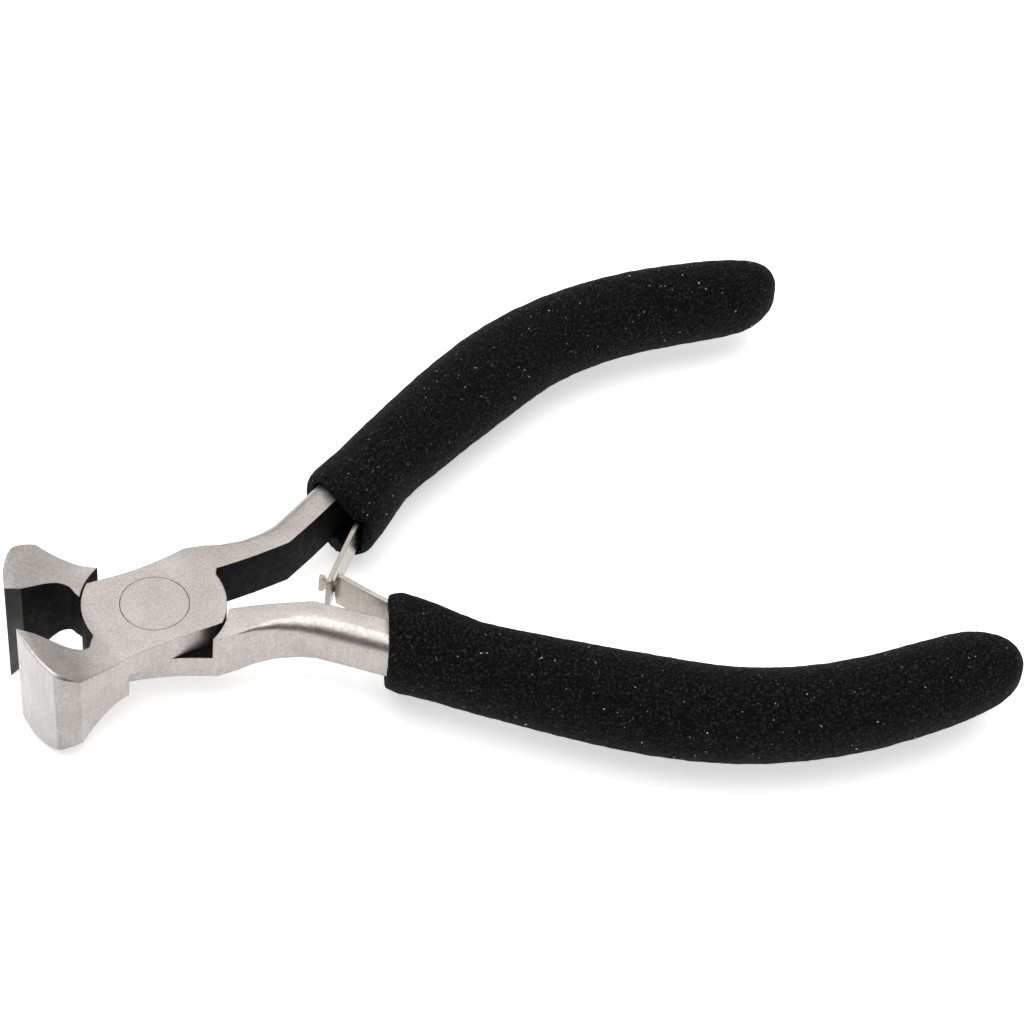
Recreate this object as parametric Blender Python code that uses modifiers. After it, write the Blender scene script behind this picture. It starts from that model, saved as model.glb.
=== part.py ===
"""Mini end cutting nippers: two forged halves on a flush rivet, a pair of
interlocked leaf springs and two foam grips. Metres, +Z up, jaws towards -X.

Each half is drawn in its own closed position and turned open about the pivot.
The second half is the first one turned half a turn about X."""

import math

import bmesh
import bpy
from mathutils import Matrix, Vector

MM = 0.001

# Joint
JOINT_HALF = 3.14
OPEN_HALF_ANGLE = math.radians(10.15)
LAP_GAP = 0.12
FRONT_LAP_RADIUS = 7.8
REAR_LAP_RADIUS = 7.72
SHOULDER_RADIUS = 7.98
HEEL_RELIEF = 1.0
RIVET_HEAD_RADIUS = 3.65
RIVET_SHANK_RADIUS = 2.5
RIVET_CONE_DEPTH = 1.1
RIVET_GAP = 0.08

# Jaw
TIP_X = -15.62
BLADE_GAP = 0.06

# Handle and tang
EDGE_ROUND = 2.1
TANG_END_X = 82.0

# Grip
SLEEVE_GAP = 0.3

# Leaf springs
LEAF_THICKNESS = 0.5
LEAF_HALF_WIDTH = 2.25
LEAF_SEAT_GAP = 0.16
NECK_HALF_WIDTH = 0.6
HEAD_HALF_WIDTH = 1.1
WINDOW_HALF_WIDTH = 0.85
LEAF_RIVET_RADIUS = 0.7
LEAF_RIVET_HEAD_RADIUS = 1.35
LEAF_RIVET_HEAD = 0.55
LEAF_RIVET_DEPTH = 2.2
LEAF_RIVET_GAP = 0.1

STEEL = (0.56, 0.53, 0.51, 1.0)
SPRING_STEEL = (0.72, 0.69, 0.62, 1.0)
FOAM = (0.012, 0.012, 0.013, 1.0)

# Plan outline of the front of the first half, closed: (x, y), anticlockwise.
FRONT_FACE = [
    (TIP_X, -BLADE_GAP),
    (-15.6, -2.9),
    (-15.1, -5.2),
    (-14.45, -6.65),
    (-13.6, -7.4),
    (-12.05, -7.85),
]
OUTER_SIDE = [
    (-10.5, -7.1),
    (-8.65, -6.4),
    (-7.2, -5.93),
    (-5.7, -5.63),
    (-4.2, -5.5),
    (0.0, -5.45),
    (4.4, -5.6),
]
BACK_SIDE = [
    (6.2, 5.7),
    (4.7, 5.5),
    (2.05, 5.25),
    (-0.9, 5.24),
    (-3.6, 5.5),
]
THROAT = [
    (-8.4, -2.2),
    (-8.75, -2.75),
    (-9.3, -3.0),
    (-10.1, -3.05),
    (-11.4, -2.5),
    (-12.6, -1.65),
    (-13.9, -0.75),
]
# Half thickness of the jaw against x, and against y across its front.
FLARE = [
    (-16.4, 7.75),
    (-15.6, 7.3),
    (-14.5, 6.62),
    (-13.5, 6.02),
    (-12.5, 5.4),
    (-11.5, 4.8),
    (-10.5, 4.28),
    (-9.5, 3.84),
    (-8.5, 3.48),
    (-7.5, 3.24),
    (-6.5, JOINT_HALF),
]
SHIELD = [
    (-8.7, 3.0),
    (-8.2, 4.3),
    (-7.85, 5.1),
    (-7.4, 5.75),
    (-6.8, 6.25),
    (-6.0, 6.58),
    (-4.8, 6.86),
    (-3.0, 7.08),
    (-1.0, 7.24),
    (0.0, 7.28),
    (9.0, 7.3),
]
# Handle sections: inner point, outer point, half thickness, outer corner radius.
HANDLE = [
    ((6.3, 2.0), (5.9, 5.0), 3.14, 0.05),
    ((8.3, 1.56), (8.1, 5.25), 3.14, 0.05),
    ((10.4, 1.43), (10.2, 4.7), 3.14, 0.5),
    ((12.6, 1.37), (12.6, 4.52), 3.14, 1.1),
    ((15.0, 1.4), (15.0, 4.82), 3.14, 1.6),
    ((17.0, 1.45), (16.9, 5.4), 3.14, EDGE_ROUND),
    ((20.7, 3.0), (19.6, 6.65), 3.14, EDGE_ROUND),
    ((24.4, 4.7), (23.2, 8.3), 3.14, EDGE_ROUND),
    ((28.5, 6.4), (27.0, 10.0), 3.1, 1.9),
    ((34.5, 8.6), (33.2, 12.2), 3.0, 1.8),
    ((44.0, 12.5), (42.8, 16.1), 2.8, 1.7),
    ((52.0, 15.5), (51.2, 18.9), 2.7, 1.6),
    ((60.0, 17.7), (59.7, 20.9), 2.6, 1.5),
    ((68.0, 18.6), (68.1, 21.6), 2.5, 1.4),
    ((76.0, 18.2), (76.5, 20.9), 2.4, 1.3),
    ((TANG_END_X, 17.0), (TANG_END_X + 0.5, 19.3), 2.2, 1.0),
]
POCKET_FIRST = 6
# Grip sections: inner x and y, outer x and y, half height.
GRIP = [
    (25.3, 0.5, 23.9, 10.3, 5.15),
    (27.0, 0.12, 25.2, 11.25, 5.3),
    (30.7, 2.4, 28.0, 12.3, 5.35),
    (35.0, 5.4, 31.6, 14.0, 5.3),
    (39.3, 7.1, 35.6, 15.95, 5.3),
    (46.1, 9.5, 42.3, 19.05, 5.4),
    (53.7, 12.0, 50.5, 22.35, 5.4),
    (60.7, 14.2, 59.3, 24.5, 5.35),
    (67.95, 15.0, 68.05, 25.1, 5.3),
    (75.3, 14.5, 76.8, 24.4, 5.25),
    (83.1, 12.95, 85.1, 22.55, 5.15),
    (88.2, 12.1, 90.2, 20.9, 4.85),
    (91.6, 12.7, 93.1, 19.4, 4.1),
    (93.7, 14.0, 94.4, 17.9, 2.8),
    (94.6, 15.4, 94.8, 16.8, 1.1),
]
# Space inside the grip for the leaf to swing, in plan.
LEAF_WELL = [
    (22.0, 5.0),
    (22.0, -2.6),
    (24.3, -0.6),
    (29.6, 3.6),
    (33.8, 6.2),
    (37.8, 7.8),
    (37.8, 10.9),
    (28.0, 8.0),
]
LEAF_WELL_HALF = 2.75
LEAF_ROOT = [(36.8, 9.1), (35.35, 8.51), (34.0, 7.98), (32.4, 6.8), (29.6, 4.65)]
LEAF_A_PATH = LEAF_ROOT + [(24.85, 0.8), (18.6, -4.82)]
LEAF_B_PATH = LEAF_ROOT + [(25.06, 1.4), (20.4, -2.74)]
LEAF_B_HEAD = [(20.21, -2.91), (19.3, -3.45), (18.45, -3.8)]
LEAF_RIVET = (35.2, 8.89)
WINDOW_FROM_END = (0.7, 3.0)


def clear_scene():
    for obj in list(bpy.data.objects):
        bpy.data.objects.remove(obj, do_unlink=True)


def new_collection(name):
    collection = bpy.data.collections.new(name)
    bpy.context.scene.collection.children.link(collection)
    return collection


def material(name, colour, metallic, roughness):
    made = bpy.data.materials.new(name)
    made.use_nodes = True
    shader = made.node_tree.nodes["Principled BSDF"]
    shader.inputs["Base Color"].default_value = colour
    shader.inputs["Metallic"].default_value = metallic
    shader.inputs["Roughness"].default_value = roughness
    made.diffuse_color = colour
    return made


def object_of(bm, name, collection):
    bmesh.ops.recalc_face_normals(bm, faces=bm.faces)
    mesh = bpy.data.meshes.new(name)
    bm.to_mesh(mesh)
    bm.free()
    obj = bpy.data.objects.new(name, mesh)
    collection.objects.link(obj)
    return obj


def catmull(points, steps):
    """A smooth line through points of any dimension, with steps per span."""
    rows = [Vector(p) for p in points]
    rows = [rows[0] * 2 - rows[1]] + rows + [rows[-1] * 2 - rows[-2]]
    line = []
    for i in range(1, len(rows) - 2):
        a, b, c, d = rows[i - 1 : i + 3]
        for k in range(steps):
            t = k / steps
            line.append(
                (b * 2 + (c - a) * t + (a * 2 - b * 5 + c * 4 - d) * t * t
                 + (b * 3 - a - c * 3 + d) * t ** 3) * 0.5
            )
    line.append(rows[-2])
    return line


def prism(outline, axis, low, high, name):
    """A plan (x, y), side (x, z) or front (y, z) outline made solid between two heights."""
    curve = bpy.data.curves.new(name, "CURVE")
    curve.dimensions = "2D"
    curve.fill_mode = "BOTH"
    curve.extrude = (high - low) / 2 * MM
    spline = curve.splines.new("POLY")
    spline.points.add(len(outline) - 1)
    for point, (u, v) in zip(spline.points, outline):
        point.co = (u * MM, v * MM, 0, 1)
    spline.use_cyclic_u = True
    flat = bpy.data.objects.new(name + "_outline", curve)
    helpers.objects.link(flat)
    bpy.context.view_layer.update()
    mesh = bpy.data.meshes.new_from_object(flat.evaluated_get(bpy.context.evaluated_depsgraph_get()))
    bpy.data.objects.remove(flat, do_unlink=True)
    turn = {
        "z": Matrix.Identity(4),
        "y": Matrix.Rotation(math.pi / 2, 4, "X"),
        "x": Matrix(((0, 0, 1, 0), (1, 0, 0, 0), (0, 1, 0, 0), (0, 0, 0, 1))),
    }[axis]
    along = {"z": 1, "y": -1, "x": 1}[axis]
    bm = bmesh.new()
    bm.from_mesh(mesh)
    bmesh.ops.remove_doubles(bm, verts=bm.verts, dist=0.001 * MM)
    bmesh.ops.translate(bm, vec=(0, 0, along * (high + low) / 2 * MM), verts=bm.verts)
    bmesh.ops.transform(bm, matrix=turn, verts=bm.verts)
    return object_of(bm, name, helpers)


def turned(profile, segments, name):
    """A solid of revolution about Z: (radius, z) pairs from the axis, top to bottom, on a Screw."""
    bm = bmesh.new()
    line = [bm.verts.new((radius * MM, 0, z * MM)) for radius, z in profile]
    for one, two in zip(line, line[1:]):
        bm.edges.new((one, two))
    obj = object_of(bm, name, helpers)
    screw = obj.modifiers.new("Screw", "SCREW")
    screw.steps = segments
    screw.render_steps = segments
    screw.use_merge_vertices = True
    screw.merge_threshold = 0.00001
    return obj


def loft(sections, name, collection):
    """A closed skin over rings of equal count, capped at both ends."""
    bm = bmesh.new()
    rings = [[bm.verts.new(Vector(p) * MM) for p in section] for section in sections]
    for one, two in zip(rings, rings[1:]):
        for k in range(len(one)):
            n = (k + 1) % len(one)
            bm.faces.new([one[k], one[n], two[n], two[k]])
    bm.faces.new(rings[0])
    bm.faces.new(rings[-1])
    return object_of(bm, name, collection)


def apply_modifiers(obj):
    bpy.context.view_layer.update()
    mesh = bpy.data.meshes.new_from_object(obj.evaluated_get(bpy.context.evaluated_depsgraph_get()))
    obj.modifiers.clear()
    obj.data = mesh
    mesh.name = obj.name


def apply_boolean(obj, operation, cutter):
    modifier = obj.modifiers.new(operation.title(), "BOOLEAN")
    modifier.operation = operation
    modifier.solver = "EXACT"
    modifier.object = cutter
    apply_modifiers(obj)
    bpy.data.objects.remove(cutter, do_unlink=True)


def arc(radius, start, end, count):
    return [
        (radius * math.cos(math.radians(start + (end - start) * k / count)),
         radius * math.sin(math.radians(start + (end - start) * k / count)))
        for k in range(count + 1)
    ]


def handle_section(inner, outer, half, radius, grow=0.0):
    """Square on its inner side and rounded on its outer corners, in the plane of both points."""
    inner = Vector((inner[0], inner[1], 0))
    outer = Vector((outer[0], outer[1], 0))
    across = (outer - inner).normalized()
    width = (outer - inner).length + grow
    half = half + grow
    radius = min(radius + grow * 0.5, half - 0.05)
    flat = [(-grow, half), (-grow, -half)]
    round_low = [
        (width - radius + radius * math.sin(math.radians(a)),
         -half + radius - radius * math.cos(math.radians(a)))
        for a in (0, 18, 36, 54, 72, 90)
    ]
    round_high = [(u, -v) for u, v in reversed(round_low)]
    return [inner + across * u + Vector((0, 0, v)) for u, v in flat + round_low + round_high]


def front_plan():
    rear_start = math.degrees(math.atan2(-5.62, 5.35))
    front_arc = arc(FRONT_LAP_RADIUS, 133.0, 189.5, 12)
    rear_arc = arc(REAR_LAP_RADIUS, rear_start, 6.0, 10)
    outline = catmull(FRONT_FACE, 3) + catmull(OUTER_SIDE, 2)
    outline += rear_arc
    outline += [(8.15, 1.62), (8.6, 5.08)]
    outline += catmull(BACK_SIDE, 2)
    outline += front_arc
    outline += catmull(THROAT, 2)
    return [(p[0], p[1]) for p in outline]


def mirrored_profile(pairs):
    return [(u, v) for u, v in pairs] + [(u, -v) for u, v in reversed(pairs)]


def rivet_profile(gap, over):
    """Half of the countersunk rivet's outline, with the hole's clearance and overrun."""
    top = JOINT_HALF + over
    head = RIVET_HEAD_RADIUS + gap
    shank = RIVET_SHANK_RADIUS + gap
    cone = JOINT_HALF - RIVET_CONE_DEPTH
    side = [(head, top), (head, JOINT_HALF - 0.25), (shank, cone)]
    return [(0, top)] + side + [(r, -z) for r, z in reversed(side)] + [(0, -top)]


def block(size, centre, turn, name):
    """A box of a size, turned about Z, with its centre in plan."""
    bm = bmesh.new()
    bmesh.ops.create_cube(bm, size=1.0)
    bmesh.ops.scale(bm, vec=Vector(size) * MM, verts=bm.verts)
    bmesh.ops.rotate(bm, matrix=Matrix.Rotation(turn, 3, "Z"), verts=bm.verts)
    bmesh.ops.translate(bm, vec=Vector(centre) * MM, verts=bm.verts)
    return object_of(bm, name, helpers)


def rod(radius, start, end, name, segments=24):
    """A round pin between two points in plan."""
    start = Vector((start[0], start[1], 0))
    end = Vector((end[0], end[1], 0))
    bm = bmesh.new()
    bmesh.ops.create_cone(bm, cap_ends=True, segments=segments, radius1=radius * MM,
                          radius2=radius * MM, depth=(end - start).length * MM)
    aim = (end - start).to_track_quat("Z", "Y").to_matrix()
    bmesh.ops.rotate(bm, matrix=aim, verts=bm.verts)
    bmesh.ops.translate(bm, vec=(start + end) / 2 * MM, verts=bm.verts)
    return object_of(bm, name, helpers)


def seat_direction():
    """Outward from the tang's inner face where the leaves are riveted."""
    along = Vector((HANDLE[9][0][0] - HANDLE[8][0][0], HANDLE[9][0][1] - HANDLE[8][0][1]))
    along.normalize()
    return Vector((along.y, -along.x))


def rivet_line(inward, outward):
    """Two plan points either side of the tang's inner face at a leaf's rivet."""
    out = seat_direction()
    base = Vector(LEAF_RIVET)
    return base - out * inward, base + out * outward


def heel_relief():
    """Trims the lap's heel flush with the handle's inner face, below the lap."""
    inner = Vector(HANDLE[1][0]) - Vector(HANDLE[0][0])
    turn = math.atan2(inner.y, inner.x)
    middle = Vector(HANDLE[1][0]) - inner.normalized() * 0.45
    centre = middle + Vector((math.sin(turn), -math.cos(turn))) * (HEEL_RELIEF / 2 + 0.02)
    size = (HEEL_RELIEF, HEEL_RELIEF, 9.0)
    return block(size, (centre.x, centre.y, LAP_GAP / 2 - 4.5), turn, "heel_relief")


def build_half(name):
    plate = prism(front_plan(), "z", -8.5, 8.5, name)
    side = mirrored_profile(catmull(FLARE, 2) + [Vector((12.0, JOINT_HALF))])
    front = mirrored_profile(catmull(SHIELD, 2))
    apply_boolean(plate, "INTERSECT", prism(side, "y", -20, 20, "flare"))
    apply_boolean(plate, "INTERSECT", prism(front, "x", -20, 20, "shield"))
    sections = [handle_section(*row) for row in HANDLE]
    apply_boolean(plate, "UNION", loft(sections, "handle", helpers))
    relief = [(0, LAP_GAP / 2), (SHOULDER_RADIUS, LAP_GAP / 2), (SHOULDER_RADIUS, -9), (0, -9)]
    apply_boolean(plate, "DIFFERENCE", turned(relief, 96, "relief"))
    apply_boolean(plate, "DIFFERENCE", heel_relief())
    apply_boolean(plate, "DIFFERENCE", turned(rivet_profile(RIVET_GAP, 1.0), 64, "hole"))
    start, end = rivet_line(LEAF_RIVET_DEPTH + LEAF_RIVET_GAP, 1.0)
    hole = rod(LEAF_RIVET_RADIUS + LEAF_RIVET_GAP, start, end, "leaf_rivet_hole")
    apply_boolean(plate, "DIFFERENCE", hole)
    return plate


def build_pivot_rivet():
    rivet = turned(rivet_profile(0, 0), 64, "pivot_rivet")
    apply_modifiers(rivet)
    return rivet


def grip_section(row, steps=28):
    """An oval through an inner and an outer point in plan."""
    inner = Vector((row[0], row[1], 0))
    outer = Vector((row[2], row[3], 0))
    centre = (inner + outer) / 2
    across = (outer - inner) / 2
    ring = []
    for k in range(steps):
        angle = 2 * math.pi * k / steps
        ring.append(centre + across * math.cos(angle) + Vector((0, 0, row[4] * math.sin(angle))))
    return ring


def build_grip(name):
    rows = catmull(GRIP[:1] + GRIP, 2)[2:]
    grip = loft([grip_section(row) for row in rows], name, helpers)
    pocket = [handle_section(*row, grow=SLEEVE_GAP) for row in HANDLE[POCKET_FIRST:]]
    last = [p + Vector((1.2, -0.3, 0)) for p in pocket[-1]]
    apply_boolean(grip, "DIFFERENCE", loft(pocket + [last], "pocket", helpers))
    well = prism(LEAF_WELL, "z", -LEAF_WELL_HALF, LEAF_WELL_HALF, "well")
    apply_boolean(grip, "DIFFERENCE", well)
    return grip


def leaf_sections(path, widths):
    """Upright rectangles along a plan path, each half a leaf's thickness either side of it."""
    rings = []
    for i, point in enumerate(path):
        before = path[max(i - 1, 0)]
        after = path[min(i + 1, len(path) - 1)]
        along = (Vector(after) - Vector(before)).normalized()
        side = Vector((-along.y, along.x, 0)) * LEAF_THICKNESS / 2
        centre = Vector((point[0], point[1], 0))
        up = Vector((0, 0, widths[i]))
        rings.append([centre - side - up, centre + side - up, centre + side + up, centre - side + up])
    return rings


def drill_leaf(leaf):
    start, end = rivet_line(1.0, 2.0)
    hole = rod(LEAF_RIVET_RADIUS + LEAF_RIVET_GAP, start, end, "leaf_hole")
    apply_boolean(leaf, "DIFFERENCE", hole)


def build_leaf_a(name):
    path = catmull(LEAF_A_PATH, 4)
    leaf = loft(leaf_sections(path, [LEAF_HALF_WIDTH] * len(path)), name, helpers)
    end = Vector(LEAF_A_PATH[-1])
    along = (Vector(LEAF_A_PATH[-2]) - end).normalized()
    near, far = WINDOW_FROM_END
    centre = end + along * (near + far) / 2
    size = (far - near, 3.0, 2 * WINDOW_HALF_WIDTH)
    window = block(size, (centre.x, centre.y, 0), math.atan2(along.y, along.x), "window")
    apply_boolean(leaf, "DIFFERENCE", window)
    drill_leaf(leaf)
    return leaf


def build_leaf_b(name):
    root = catmull(LEAF_B_PATH, 4)
    neck = catmull(LEAF_B_HEAD, 4)
    widths = [LEAF_HALF_WIDTH] * len(root) + [NECK_HALF_WIDTH] * 6
    widths += [HEAD_HALF_WIDTH] * (len(neck) - 6)
    leaf = loft(leaf_sections(root + neck, widths), name, helpers)
    drill_leaf(leaf)
    return leaf


def build_leaf_rivet(name):
    """A shank in the tang with a round head over the leaf."""
    seat = LEAF_SEAT_GAP * 2 + LEAF_THICKNESS
    start, end = rivet_line(LEAF_RIVET_DEPTH, seat + 0.2)
    rivet = rod(LEAF_RIVET_RADIUS, start, end, name)
    start, end = rivet_line(-seat, seat + LEAF_RIVET_HEAD)
    apply_boolean(rivet, "UNION", rod(LEAF_RIVET_HEAD_RADIUS, start, end, "head"))
    return rivet


def finish(obj, surface, smooth_angle=35):
    """Into the tool's collection, with its one material."""
    if obj.name in helpers.objects:
        helpers.objects.unlink(obj)
        pliers.objects.link(obj)
    obj.data.materials.clear()
    obj.data.materials.append(surface)
    obj.data.shade_smooth()
    obj.data.set_sharp_from_angle(angle=math.radians(smooth_angle))


def set_origin(obj, point):
    """Puts a piece's origin on its own flexing axis, without moving it."""
    obj.data.transform(Matrix.Translation(-Vector((point[0], point[1], 0)) * MM))
    obj.location = Vector((point[0], point[1], 0)) * MM


def assemble(half, parts, turn):
    """Turns a half open about the pivot and carries its parts along."""
    half.location = (0, 0, JOINT_HALF * MM)
    half.rotation_euler = (0, 0, turn * OPEN_HALF_ANGLE)
    for part in parts:
        part.parent = half


def turn_over(obj):
    """Half a turn about X, which makes the second half's copy of a piece."""
    obj.data.transform(Matrix.Rotation(math.pi, 4, "X"))


clear_scene()
pliers = new_collection("end_cutting_nippers")
helpers = new_collection("helpers")
helpers.hide_render = True
ground_steel = material("ground_steel", STEEL, 1.0, 0.38)
spring_steel = material("spring_steel", SPRING_STEEL, 1.0, 0.25)
foam = material("foam", FOAM, 0.0, 0.9)

half_a = build_half("half_a")
half_b = build_half("half_b")
pivot_rivet = build_pivot_rivet()
grip_a = build_grip("grip_a")
grip_b = build_grip("grip_b")
leaf_a = build_leaf_a("leaf_spring_a")
leaf_b = build_leaf_b("leaf_spring_b")
leaf_rivet_a = build_leaf_rivet("leaf_rivet_a")
leaf_rivet_b = build_leaf_rivet("leaf_rivet_b")
for piece in (half_b, grip_b, leaf_b, leaf_rivet_b):
    turn_over(piece)
set_origin(leaf_a, LEAF_ROOT[1])
set_origin(leaf_b, (LEAF_ROOT[1][0], -LEAF_ROOT[1][1]))
for piece in (half_a, half_b, pivot_rivet):
    finish(piece, ground_steel)
for piece in (leaf_a, leaf_b, leaf_rivet_a, leaf_rivet_b):
    finish(piece, spring_steel)
for piece in (grip_a, grip_b):
    finish(piece, foam, 60)
assemble(half_a, (pivot_rivet, grip_a, leaf_a, leaf_rivet_a), 1)
assemble(half_b, (grip_b, leaf_b, leaf_rivet_b), -1)
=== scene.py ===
"""Looks of the mini end cutting nippers: ground steel halves with black-oxide hollows, painted shade and
painted highlight on some faces, bright leaf springs and black foam grips, on a pale studio floor."""

import math

import bmesh
import bpy
from mathutils import Matrix, Vector, noise


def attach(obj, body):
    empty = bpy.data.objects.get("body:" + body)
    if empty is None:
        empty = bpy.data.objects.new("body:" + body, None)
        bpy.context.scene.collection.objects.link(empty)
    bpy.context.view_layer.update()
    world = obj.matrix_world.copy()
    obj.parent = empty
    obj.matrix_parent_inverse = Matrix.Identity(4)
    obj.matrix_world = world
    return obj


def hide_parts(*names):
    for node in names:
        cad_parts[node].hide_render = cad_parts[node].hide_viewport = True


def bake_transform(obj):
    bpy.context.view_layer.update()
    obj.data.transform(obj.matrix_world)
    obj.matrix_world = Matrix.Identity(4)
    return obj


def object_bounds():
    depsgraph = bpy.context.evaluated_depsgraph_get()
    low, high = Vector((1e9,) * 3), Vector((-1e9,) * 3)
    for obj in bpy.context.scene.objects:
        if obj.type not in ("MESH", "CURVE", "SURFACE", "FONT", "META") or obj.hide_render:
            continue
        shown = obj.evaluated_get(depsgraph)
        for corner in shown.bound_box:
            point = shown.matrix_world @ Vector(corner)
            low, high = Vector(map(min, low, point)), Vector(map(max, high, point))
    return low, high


MM = 0.001
JOINT_HEIGHT = 3.14
OPEN_HALF_ANGLE = math.radians(10.15)
SHOULDER_RADIUS = 8.05
HANDLE_START_X = 6.0
THROAT_BACK_X = -7.3
BLADE_BEVEL_X = -14.0
JAW_FRONT_X = -12.1
FACET_TURN_Y = -6.5
HOLLOW_EDGE_Y = -3.3
JAW_HOLLOW_END_X = -11.0
SHOULDER_WALL_RADIUS = 7.98
SHOULDER_WALL_TOLERANCE = 0.08
LAP_RIM_RADIUS = 7.78
LAP_RIM_TOLERANCE = 0.1
LAP_FLOOR_BAND = 0.3
UPRIGHT_BELOW = 0.6

# Material slots of a half: the cutting bevel and the jaw facets take steel with painted shade or painted
# highlight, and the hollow black is also painted shade on the lap's walls and rims.
GROUND, HOLLOW, CUTTING_BEVEL, FRONT_FACET, TURNING_FACET = range(5)

EDGE_BEVEL = 0.13
EDGE_ROUNDING = 0.16
RIVET_BEVEL = 0.015
RIVET_SWELL = 1.013
HALF_SHARP_ANGLE = 32
SMALL_SHARP_ANGLE = 40
BEVEL_SEGMENTS = 2
WELD_DISTANCE = 0.0005
FLAT_ANGLE = math.radians(0.6)
RIVET_SEAT_RADIUS = 3.9
LEAF_BEVEL = 0.07
FOAM_VOXEL = 0.3
FOAM_SMOOTHING = 4
FOAM_LUMP = 0.06
FOAM_SWELL = 0.04
FOAM_SMOOTH_FACTOR = 0.5
FOAM_COARSE_SCALE = 700
FOAM_FINE_SCALE = 1900
FOAM_FINE_SHARE = 0.5

CAMERA_PLACE = (-0.041125, -0.156105, 0.197917)
CAMERA_ELEVATION = math.radians(46.9984)
CAMERA_AZIMUTH = math.radians(27.7701)
CAMERA_ROLL = math.radians(9.0276)
CAMERA_LENS = 81.06
CAMERA_SENSOR = 36.0
CAMERA_NEAR = 0.01
CAMERA_FAR = 20

FLOOR_SIZE = 3.0
FLOOR_DROP = 0.0002
FLOOR_GLOW = 0.55
FLOOR_SEGMENTS = 4
FLOOR_CENTRE_X = 0.04

WORLD_LIGHT = 0.14
LIGHT_TARGET = (0.02, 0, 0)
OVERHEAD_PLACE = (-0.05, -0.05, 0.7)
OVERHEAD_SIZE = (0.7, 0.7)
OVERHEAD_POWER = 4.4
BACK_PLACE = (0.25, 0.45, 0.55)
BACK_SIZE = (1.3, 1.0)
BACK_POWER = 4.6


def new_material(name):
    made = bpy.data.materials.new(name)
    made.use_nodes = True
    return made, made.node_tree, made.node_tree.nodes["Principled BSDF"]


def node(tree, kind, **settings):
    made = tree.nodes.new(kind)
    for key, value in settings.items():
        if key in made.bl_rna.properties:
            setattr(made, key, value)
        else:
            made.inputs[key.replace("_", " ")].default_value = value
    return made


def stretched_noise(tree, scale, stretch=(1, 1, 1), detail=4.0, roughness=0.55):
    """Noise in object space, in features of 1/scale metres, drawn out along an axis."""
    place = node(tree, "ShaderNodeTexCoord")
    mapping = node(tree, "ShaderNodeMapping")
    mapping.inputs["Scale"].default_value = stretch
    tree.links.new(place.outputs["Object"], mapping.inputs["Vector"])
    made = node(tree, "ShaderNodeTexNoise", Scale=scale, Detail=detail, Roughness=roughness)
    tree.links.new(mapping.outputs["Vector"], made.inputs["Vector"])
    return made


def ramp(tree, source, stops):
    """A colour ramp over a node's first output; stops are (position, grey or colour)."""
    made = node(tree, "ShaderNodeValToRGB")
    elements = made.color_ramp.elements
    while len(elements) < len(stops):
        elements.new(0.5)
    for element, (position, value) in zip(elements, stops):
        element.position = position
        element.color = (*value, 1.0) if isinstance(value, tuple) else (value, value, value, 1.0)
    tree.links.new(source.outputs[0], made.inputs["Fac"])
    return made


def mixed(tree, kind, factor, first, second):
    """Colour mix of two sockets or colours."""
    made = node(tree, "ShaderNodeMix", data_type="RGBA", blend_type=kind)
    for socket, value in ((made.inputs[0], factor), (made.inputs[6], first), (made.inputs[7], second)):
        if isinstance(value, bpy.types.NodeSocket):
            tree.links.new(value, socket)
        else:
            socket.default_value = value
    return made.outputs[2]


def bump(tree, shader, source, strength, distance, into=None):
    """A bump over the surface, or over another node's normal."""
    made = node(tree, "ShaderNodeBump", Strength=strength, Distance=distance)
    tree.links.new(source, made.inputs["Height"])
    if into is not None:
        tree.links.new(into.outputs["Normal"], made.inputs["Normal"])
    tree.links.new(made.outputs["Normal"], shader.inputs["Normal"])
    return made


def ground_steel(name, light, dark, roughness, grain_depth=0.72):
    """Satin ground steel: mottled tone, fine speckle, upright grinding marks, softened edges."""
    made, tree, shader = new_material(name)
    shader.inputs["Metallic"].default_value = 1.0
    mottle = ramp(tree, stretched_noise(tree, 260, detail=5), [(0.3, dark), (0.7, light)])
    grain = ramp(tree, stretched_noise(tree, 4600, detail=3), [(0.3, grain_depth), (0.62, 1.0)])
    marks_noise = stretched_noise(tree, 2600, (1, 1, 0.12), detail=3)
    marks = ramp(tree, marks_noise, [(0.32, 0.84), (0.6, 1.0)])
    pits = ramp(tree, stretched_noise(tree, 3300, detail=1), [(0.18, 0.45), (0.27, 1.0)])
    tone = mixed(tree, "MULTIPLY", 1.0, mottle.outputs["Color"], grain.outputs["Color"])
    tone = mixed(tree, "MULTIPLY", 0.7, tone, marks.outputs["Color"])
    tone = mixed(tree, "MULTIPLY", 0.6, tone, pits.outputs["Color"])
    tree.links.new(tone, shader.inputs["Base Color"])
    rough = ramp(tree, stretched_noise(tree, 1400, detail=4),
                 [(0.3, roughness - 0.05), (0.75, roughness + 0.08)])
    tree.links.new(rough.outputs["Color"], shader.inputs["Roughness"])
    edges = node(tree, "ShaderNodeBevel", samples=4, Radius=EDGE_ROUNDING * MM)
    first = bump(tree, shader, marks_noise.outputs[0], 0.25, 0.00004, edges)
    bump(tree, shader, grain.outputs["Color"], 0.12, 0.00003, first)
    return made


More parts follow.
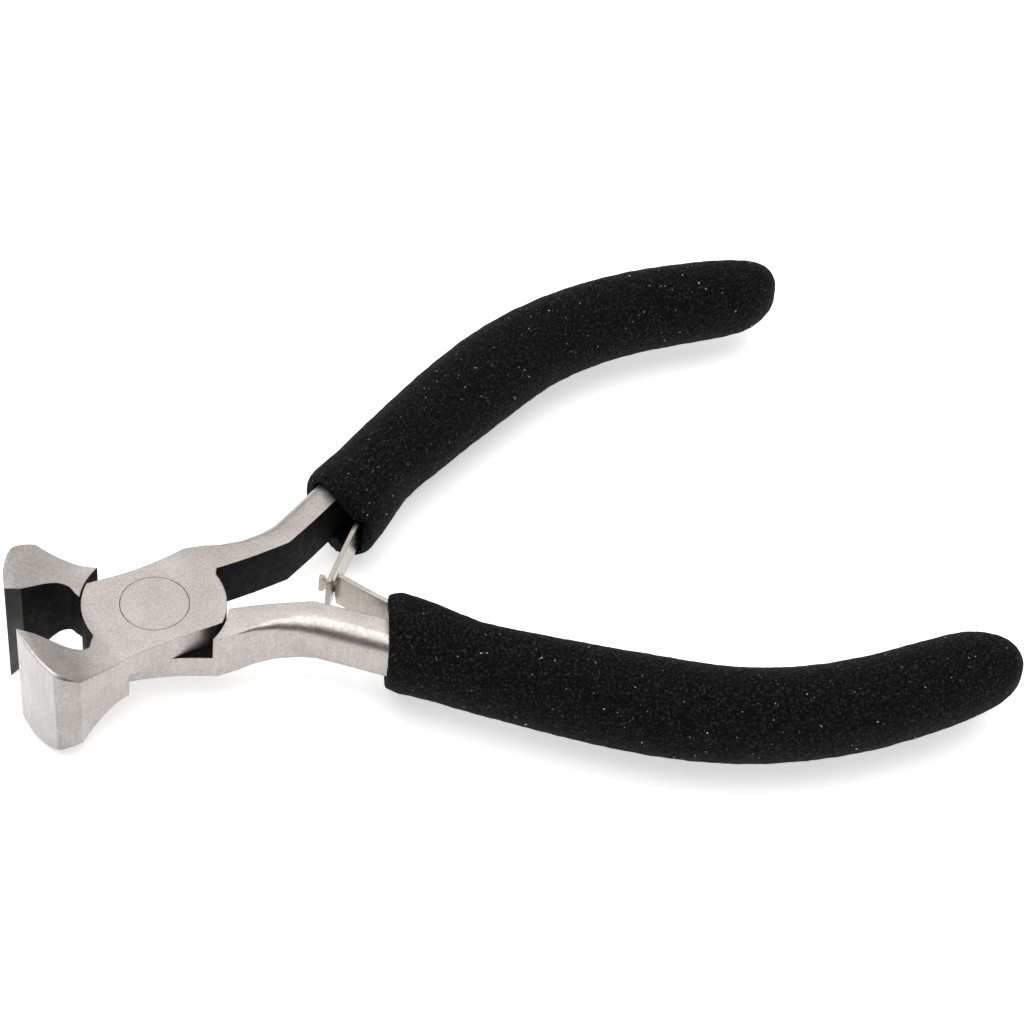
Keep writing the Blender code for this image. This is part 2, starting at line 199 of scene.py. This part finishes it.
def black_oxide_and_painted_shade(name):
    """Unpolished, blackened metal with a few worn specks; on the lap's shoulder walls and rims the same
    black stands as painted shade in the recesses.
    """
    made, tree, shader = new_material(name)
    shader.inputs["Metallic"].default_value = 0.0
    shader.inputs["Specular IOR Level"].default_value = 0.12
    specks = ramp(tree, stretched_noise(tree, 2300, detail=2), [(0.70, 0.0), (0.76, 1.0)])
    base = ramp(tree, stretched_noise(tree, 500),
                [(0.3, (0.003, 0.003, 0.003)), (0.8, (0.010, 0.008, 0.007))])
    tone = mixed(tree, "MIX", specks.outputs["Color"], base.outputs["Color"], (0.07, 0.06, 0.05, 1))
    tree.links.new(tone, shader.inputs["Base Color"])
    rough = ramp(tree, stretched_noise(tree, 1500), [(0.3, 0.55), (0.7, 0.8)])
    tree.links.new(rough.outputs["Color"], shader.inputs["Roughness"])
    bump(tree, shader, rough.outputs["Color"], 0.3, 0.00004)
    return made


def foam_black(name):
    """Closed-cell foam rubber: matt black with a fine grain whose lighter cell tops are painted highlight,
    and stray lint.
    """
    made, tree, shader = new_material(name)
    shader.inputs["Specular IOR Level"].default_value = 0.1
    cells = stretched_noise(tree, 3400, detail=3, roughness=0.75)
    # Cell tone follows the bump's noise: lighter on the cells' tops as painted highlight, near black
    # between them.
    tone = ramp(tree, cells, [(0.40, (0.0005, 0.0005, 0.0006)), (0.55, (0.0045, 0.0045, 0.005)),
                              (0.70, (0.042, 0.042, 0.044))])
    lint = ramp(tree, stretched_noise(tree, 2300, detail=1), [(0.745, 0.0), (0.79, 1.0)])
    shade_of_lint = ramp(tree, stretched_noise(tree, 700),
                         [(0.35, (0.10, 0.085, 0.06)), (0.65, (0.62, 0.60, 0.55))])
    painted_sheen_and_lint = mixed(tree, "MIX", lint.outputs["Color"], tone.outputs["Color"], shade_of_lint.outputs["Color"])
    tree.links.new(painted_sheen_and_lint, shader.inputs["Base Color"])
    rough = ramp(tree, cells, [(0.3, 0.95), (0.75, 0.7)])
    tree.links.new(rough.outputs["Color"], shader.inputs["Roughness"])
    bump(tree, shader, cells.outputs[0], 1.0, 0.00022)
    return made


def floor_white(name):
    """Pale studio floor with a glow of its own, so that it reads as white."""
    made, tree, shader = new_material(name)
    tone = ramp(tree, stretched_noise(tree, 6), [(0.2, 0.93), (0.8, 0.95)])
    tree.links.new(tone.outputs["Color"], shader.inputs["Base Color"])
    shader.inputs["Roughness"].default_value = 0.9
    shader.inputs["Specular IOR Level"].default_value = 0.1
    shader.inputs["Emission Color"].default_value = (1, 1, 1, 1)
    shader.inputs["Emission Strength"].default_value = FLOOR_GLOW
    return made


def closed_point(point, sign):
    """A point in a half's own closed position, in mm: sign is 1 for half a, -1 for half b."""
    raised = Vector((point.x / MM, point.y / MM, point.z / MM - JOINT_HEIGHT))
    turned = Matrix.Rotation(-sign * OPEN_HALF_ANGLE, 3, "Z") @ raised
    return Vector((turned.x, sign * turned.y, sign * turned.z))


def closed_direction(normal, sign):
    turned = Matrix.Rotation(-sign * OPEN_HALF_ANGLE, 3, "Z") @ normal
    return Vector((turned.x, sign * turned.y, sign * turned.z))


def half_finish(centre, normal):
    """Which finish a half's face has, painted highlight and painted shade on some faces included, from its
    centre and normal in the closed position.
    """
    upright = abs(normal.z) < UPRIGHT_BELOW
    # The jaw's front facet gets the painted-highlight copy of the ground steel, and its turn to the side
    # gets the painted-shade copy.
    if centre.x < JAW_FRONT_X and upright and normal.x < -0.15:
        return FRONT_FACET if centre.y > FACET_TURN_Y else TURNING_FACET
    radius = math.hypot(centre.x, centre.y)
    outward = (centre.x * normal.x + centre.y * normal.y) / max(radius, 1e-6)
    if centre.x > HANDLE_START_X and normal.y < -0.5 and upright:
        return HOLLOW
    if radius < SHOULDER_RADIUS and normal.z < -0.5 and abs(centre.z) < LAP_FLOOR_BAND:
        return HOLLOW
    # The lap's shoulder walls and rims get the black as painted shade in the recesses.
    on_shoulder = abs(radius - SHOULDER_WALL_RADIUS) < SHOULDER_WALL_TOLERANCE
    if on_shoulder and outward < -0.9 and upright:
        return HOLLOW
    on_rim = abs(radius - LAP_RIM_RADIUS) < LAP_RIM_TOLERANCE
    if on_rim and outward > 0.9 and upright:
        return HOLLOW
    in_throat = centre.x < THROAT_BACK_X and upright and centre.y > HOLLOW_EDGE_Y
    # In the throat, the cutting bevel gets the ground steel darkened as painted shade between the jaws.
    if in_throat and normal.y > 0.15:
        return CUTTING_BEVEL if centre.x < BLADE_BEVEL_X else HOLLOW
    if in_throat and normal.x < -0.2 and centre.x > JAW_HOLLOW_END_X:
        return HOLLOW
    return GROUND


def copy_of(source, name):
    """A copy of a CAD node's mesh as a new piece, welded and with its flat faces whole."""
    bm = bmesh.new()
    bm.from_mesh(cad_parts[source].data)
    bmesh.ops.remove_doubles(bm, verts=bm.verts, dist=WELD_DISTANCE * MM)
    bmesh.ops.dissolve_limit(bm, angle_limit=FLAT_ANGLE, verts=bm.verts, edges=bm.edges)
    bmesh.ops.recalc_face_normals(bm, faces=bm.faces)
    mesh = bpy.data.meshes.new(name)
    bm.to_mesh(mesh)
    bm.free()
    obj = bpy.data.objects.new(name, mesh)
    bpy.context.scene.collection.objects.link(obj)
    return obj


def bevelled(obj, width, limit, weight_of=None):
    """Bevels the sharp edges; weight_of gives the share of the width at an edge's middle."""
    bm = bmesh.new()
    bm.from_mesh(obj.data)
    weights = bm.edges.layers.float.new("bevel_weight_edge")
    for edge in bm.edges:
        sharp = len(edge.link_faces) == 2 and edge.calc_face_angle(0) > math.radians(limit)
        edge.smooth = not sharp
        middle = (edge.verts[0].co + edge.verts[1].co) / 2
        edge[weights] = (weight_of(middle) if weight_of else 1.0) if sharp else 0.0
    bm.to_mesh(obj.data)
    bm.free()
    obj.data.shade_smooth()
    modifier = obj.modifiers.new("Bevel", "BEVEL")
    modifier.width = width * MM
    modifier.segments = BEVEL_SEGMENTS
    modifier.limit_method = "WEIGHT"
    modifier.use_clamp_overlap = True
    modifier.harden_normals = True


def near_rivet(middle):
    """The rivet's seat is dressed flush, so its rim stays sharp."""
    return 0.0 if math.hypot(middle.x, middle.y) < RIVET_SEAT_RADIUS * MM else 1.0


def apply_all(obj):
    bpy.context.view_layer.update()
    graph = bpy.context.evaluated_depsgraph_get()
    mesh = bpy.data.meshes.new_from_object(obj.evaluated_get(graph))
    obj.modifiers.clear()
    obj.data = mesh
    mesh.name = obj.name


def make_half(source, name, body, sign, surfaces):
    obj = copy_of(source, name)
    for surface in surfaces:
        obj.data.materials.append(surface)
    for face in obj.data.polygons:
        face.material_index = half_finish(closed_point(face.center, sign),
                                          closed_direction(face.normal, sign))
    bevelled(obj, EDGE_BEVEL, HALF_SHARP_ANGLE, near_rivet)
    apply_all(obj)
    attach(obj, body)
    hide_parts(source)
    return obj


def make_small(source, name, body, surface, width, swell=1.0):
    obj = copy_of(source, name)
    obj.data.transform(Matrix.Diagonal((swell, swell, 1, 1)))
    obj.data.materials.append(surface)
    bevelled(obj, width, SMALL_SHARP_ANGLE)
    apply_all(obj)
    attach(obj, body)
    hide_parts(source)
    return obj


def make_leaf(source, name, surface):
    """A leaf spring with its placement baked into the mesh; it is not attached to a body."""
    obj = copy_of(source, name)
    obj.data.materials.append(surface)
    bevelled(obj, LEAF_BEVEL, SMALL_SHARP_ANGLE)
    apply_all(obj)
    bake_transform(obj)
    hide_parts(source)
    return obj


def make_grip(source, name, body, surface):
    obj = copy_of(source, name)
    obj.data.transform(Matrix.Scale(1 / MM, 4))
    remesh = obj.modifiers.new("Remesh", "REMESH")
    remesh.mode = "VOXEL"
    remesh.voxel_size = FOAM_VOXEL
    smooth = obj.modifiers.new("Smooth", "SMOOTH")
    smooth.factor = FOAM_SMOOTH_FACTOR
    smooth.iterations = FOAM_SMOOTHING
    apply_all(obj)
    obj.data.transform(Matrix.Scale(MM, 4))
    normals = [vertex.normal.copy() for vertex in obj.data.vertices]
    for vertex, normal in zip(obj.data.vertices, normals):
        coarse = noise.noise(vertex.co * FOAM_COARSE_SCALE)
        lump = coarse + FOAM_FINE_SHARE * noise.noise(vertex.co * FOAM_FINE_SCALE)
        vertex.co += normal * (lump * FOAM_LUMP + FOAM_SWELL) * MM
    obj.data.materials.clear()
    obj.data.materials.append(surface)
    obj.data.shade_smooth()
    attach(obj, body)
    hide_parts(source)
    return obj


def make_camera():
    data = bpy.data.cameras.new("camera")
    data.lens = CAMERA_LENS
    data.sensor_width = CAMERA_SENSOR
    data.clip_start = CAMERA_NEAR
    data.clip_end = CAMERA_FAR
    camera = bpy.data.objects.new("camera", data)
    bpy.context.scene.collection.objects.link(camera)
    el, az, roll = CAMERA_ELEVATION, CAMERA_AZIMUTH, CAMERA_ROLL
    right = Vector((1, 0, 0))
    forward = Vector((0, math.cos(el), -math.sin(el)))
    down = forward.cross(right)
    level = Matrix((right, down, forward))
    turn = Matrix.Rotation(az, 3, "Z")
    tilt = Matrix.Rotation(roll, 3, "Z")
    rows = tilt @ level @ turn
    place = Matrix((rows[0], -rows[1], -rows[2])).transposed().to_4x4()
    place.translation = Vector(CAMERA_PLACE)
    camera.matrix_world = place
    bpy.context.scene.camera = camera


def softbox(name, place, size, power):
    data = bpy.data.lights.new(name, "AREA")
    data.shape = "RECTANGLE"
    data.size = size[0]
    data.size_y = size[1]
    data.energy = power
    lamp = bpy.data.objects.new(name, data)
    bpy.context.scene.collection.objects.link(lamp)
    lamp.location = place
    lamp.rotation_euler = (Vector(LIGHT_TARGET) - Vector(place)).to_track_quat("-Z", "Y").to_euler()


def make_world(strength):
    world = bpy.data.worlds.new("studio")
    world.use_nodes = True
    world.node_tree.nodes["Background"].inputs["Color"].default_value = (1, 1, 1, 1)
    world.node_tree.nodes["Background"].inputs["Strength"].default_value = strength
    bpy.context.scene.world = world


def make_floor(low, surface):
    bm = bmesh.new()
    bmesh.ops.create_grid(bm, x_segments=FLOOR_SEGMENTS, y_segments=FLOOR_SEGMENTS, size=FLOOR_SIZE / 2)
    mesh = bpy.data.meshes.new("floor")
    bm.to_mesh(mesh)
    bm.free()
    floor = bpy.data.objects.new("floor", mesh)
    bpy.context.scene.collection.objects.link(floor)
    floor.location = (FLOOR_CENTRE_X, 0, low - FLOOR_DROP)
    floor.data.materials.append(surface)


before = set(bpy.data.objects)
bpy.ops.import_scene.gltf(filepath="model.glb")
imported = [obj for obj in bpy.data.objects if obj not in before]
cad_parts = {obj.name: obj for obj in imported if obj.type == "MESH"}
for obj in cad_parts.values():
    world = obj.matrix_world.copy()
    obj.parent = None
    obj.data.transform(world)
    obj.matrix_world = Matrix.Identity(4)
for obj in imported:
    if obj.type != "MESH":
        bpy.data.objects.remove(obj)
cad_box = [list(corner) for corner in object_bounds()]

make_camera()
make_world(WORLD_LIGHT)
softbox("overhead", OVERHEAD_PLACE, OVERHEAD_SIZE, OVERHEAD_POWER)
softbox("back", BACK_PLACE, BACK_SIZE, BACK_POWER)
bpy.context.scene.view_settings.view_transform = "Standard"

steel = ground_steel("ground_steel_satin", (0.52, 0.483, 0.462), (0.43, 0.393, 0.368), 0.38)
# The cutting bevel's steel is darkened as painted shade in the throat between the jaws.
painted_shade_bevel_steel = ground_steel("cutting_bevel_painted_shade", (0.10, 0.092, 0.086), (0.055, 0.05, 0.047), 0.38)
spring_steel = ground_steel("bright_spring", (0.52, 0.48, 0.43), (0.42, 0.385, 0.345), 0.27, 0.9)
# Black oxide of the inner faces, also used as painted shade on the lap's shoulder walls and rims.
oxide_and_painted_shade = black_oxide_and_painted_shade("black_oxide_and_painted_shade")
foam = foam_black("foam_black")

# Copies of the ground steel for the jaw's front facet, painted lighter as painted highlight, and for its
# turn to the side, painted darker as painted shade.
painted_lit_face_steel = ground_steel("jaw_face_painted_highlight", (0.54, 0.515, 0.503), (0.47, 0.445, 0.432), 0.36, 0.80)
painted_shade_turn_steel = ground_steel("jaw_turn_painted_shade", (0.45, 0.42, 0.402), (0.36, 0.335, 0.318), 0.40)
half_surfaces = (steel, oxide_and_painted_shade, painted_shade_bevel_steel, painted_lit_face_steel, painted_shade_turn_steel)
make_half("half_a", "jaw_half_a", "half_a", 1, half_surfaces)
make_half("half_b", "jaw_half_b", "half_b", -1, half_surfaces)
make_small("pivot_rivet", "flush_rivet", "half_a", steel, RIVET_BEVEL, RIVET_SWELL)
make_leaf("leaf_spring_a", "window_leaf", spring_steel)
make_leaf("leaf_spring_b", "tongue_leaf", spring_steel)
make_small("leaf_rivet_a", "small_rivet_a", "half_a", spring_steel, LEAF_BEVEL)
make_small("leaf_rivet_b", "small_rivet_b", "half_b", spring_steel, LEAF_BEVEL)
make_grip("grip_a", "foam_grip_a", "half_a", foam)
make_grip("grip_b", "foam_grip_b", "half_b", foam)
make_floor(cad_box[0][2], floor_white("floor_white"))
